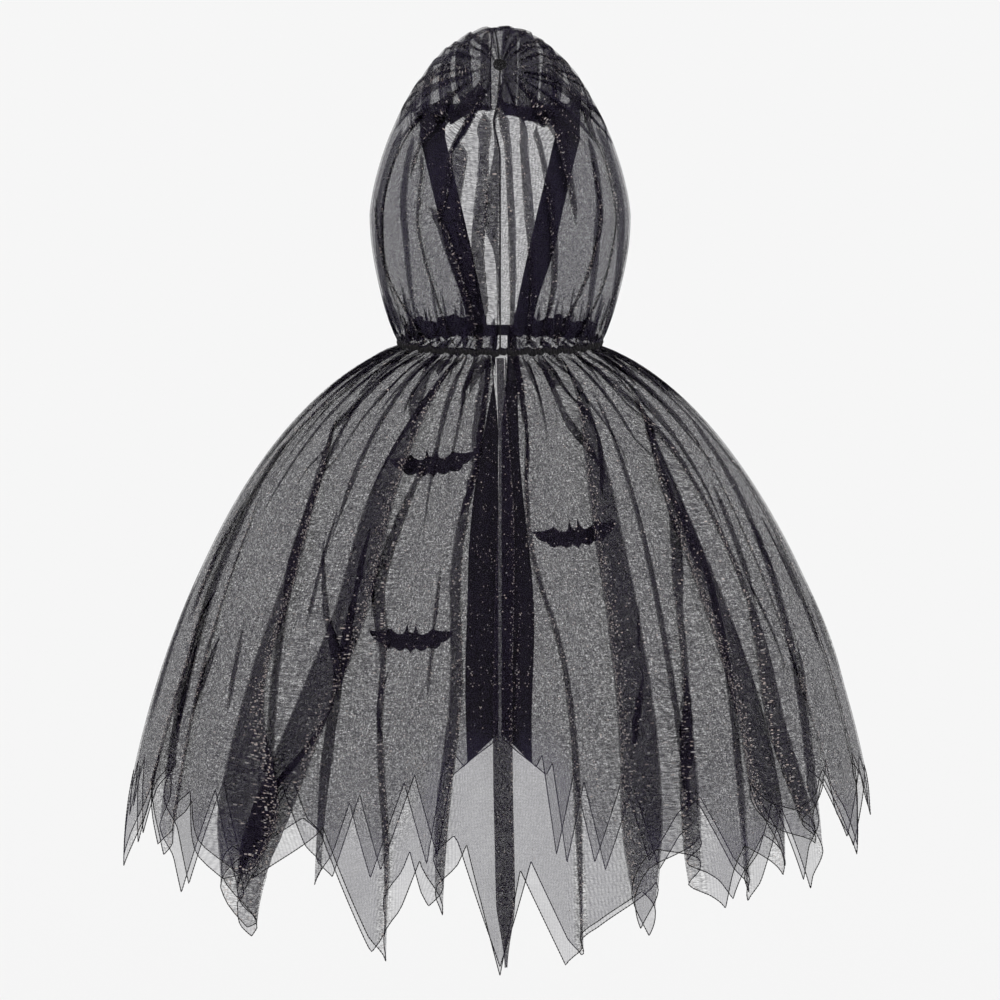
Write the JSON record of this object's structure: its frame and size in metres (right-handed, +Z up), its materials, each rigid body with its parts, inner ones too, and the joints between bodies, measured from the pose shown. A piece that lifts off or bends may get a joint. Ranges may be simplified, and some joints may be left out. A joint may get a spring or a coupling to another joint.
{
  "type": "hooded costume cape",
  "caption": "Child's sheer hooded costume cape with gathered neck, open front, opaque facings, small bat motifs and a layered zigzag hem.",
  "frame": {"origin": "middle of the neck opening, at the height of the gathered neck seam", "axes": "+Z up along the wearer's neck, +Y the way the wearer faces, +X the wearer's right"},
  "size_m": [0.7118, 0.3965, 0.861],
  "materials": {
    "outer_organza": "sheer woven glitter organza, one layer lets most light through",
    "inner_organza": "sheer woven organza, one layer lets most light through",
    "facing_satin": "opaque soft satin",
    "seam_thread": "overlocked polyester thread over gathered cloth",
    "bat_felt": "matt flocked felt",
    "label_satin": "soft satin ribbon, blank",
    "closure_tape": "hook-and-loop tape"
  },
  "bodies": {
    "neck": {"neck_band_back": "seam_thread", "neck_band_front_left": "seam_thread", "neck_band_front_right": "seam_thread", "center_back_seam": "seam_thread", "back_panel_outer_left": "outer_organza", "back_panel_outer_right": "outer_organza", "back_panel_inner_left": "inner_organza", "back_panel_inner_right": "inner_organza", "closure_loop_patch": "closure_tape"},
    "hood": {"hood_outer_left": "outer_organza", "hood_outer_right": "outer_organza", "hood_inner_left": "inner_organza", "hood_inner_right": "inner_organza", "hood_facing_left": "facing_satin", "hood_facing_right": "facing_satin", "hood_back_seam": "seam_thread", "hood_front_seam": "seam_thread", "crown_gather": "seam_thread"},
    "left_front": {"front_panel_outer_left": "outer_organza", "front_panel_inner_left": "inner_organza", "front_facing_left": "facing_satin", "bat_upper_left": "bat_felt", "bat_lower_left": "bat_felt"},
    "right_front": {"front_panel_outer_right": "outer_organza", "front_panel_inner_right": "inner_organza", "front_facing_right": "facing_satin", "bat_right": "bat_felt"},
    "throat_tab": {"closure_tab": "closure_tape", "closure_hook_patch": "closure_tape"},
    "label": {"neck_label": "label_satin"}
  },
  "joints": [
    {"name": "hood_tilt", "type": "hinge", "parent": "neck", "child": "hood", "pos_m": [0, -0.086, 0.0035], "axis": [1, 0, 0], "range_deg": [0, 30]},
    {"name": "left_front_lift", "type": "hinge", "parent": "neck", "child": "left_front", "pos_m": [-0.0746, 0.057, -0.004], "axis": [0.7483, 0.6633, 0], "range_deg": [0, 50]},
    {"name": "right_front_lift", "type": "hinge", "parent": "neck", "child": "right_front", "pos_m": [0.0746, 0.057, -0.004], "axis": [0.7483, -0.6633, 0], "range_deg": [0, 50]},
    {"name": "throat_tab_peel", "type": "hinge", "parent": "neck", "child": "throat_tab", "pos_m": [0.02, 0.0866, 0.0012], "axis": [0, 0, -1], "range_deg": [0, 120]},
    {"name": "label_flip", "type": "hinge", "parent": "neck", "child": "label", "pos_m": [0.013, -0.0725, -0.001], "axis": [1, 0, 0], "range_deg": [0, 100]}
  ]
}
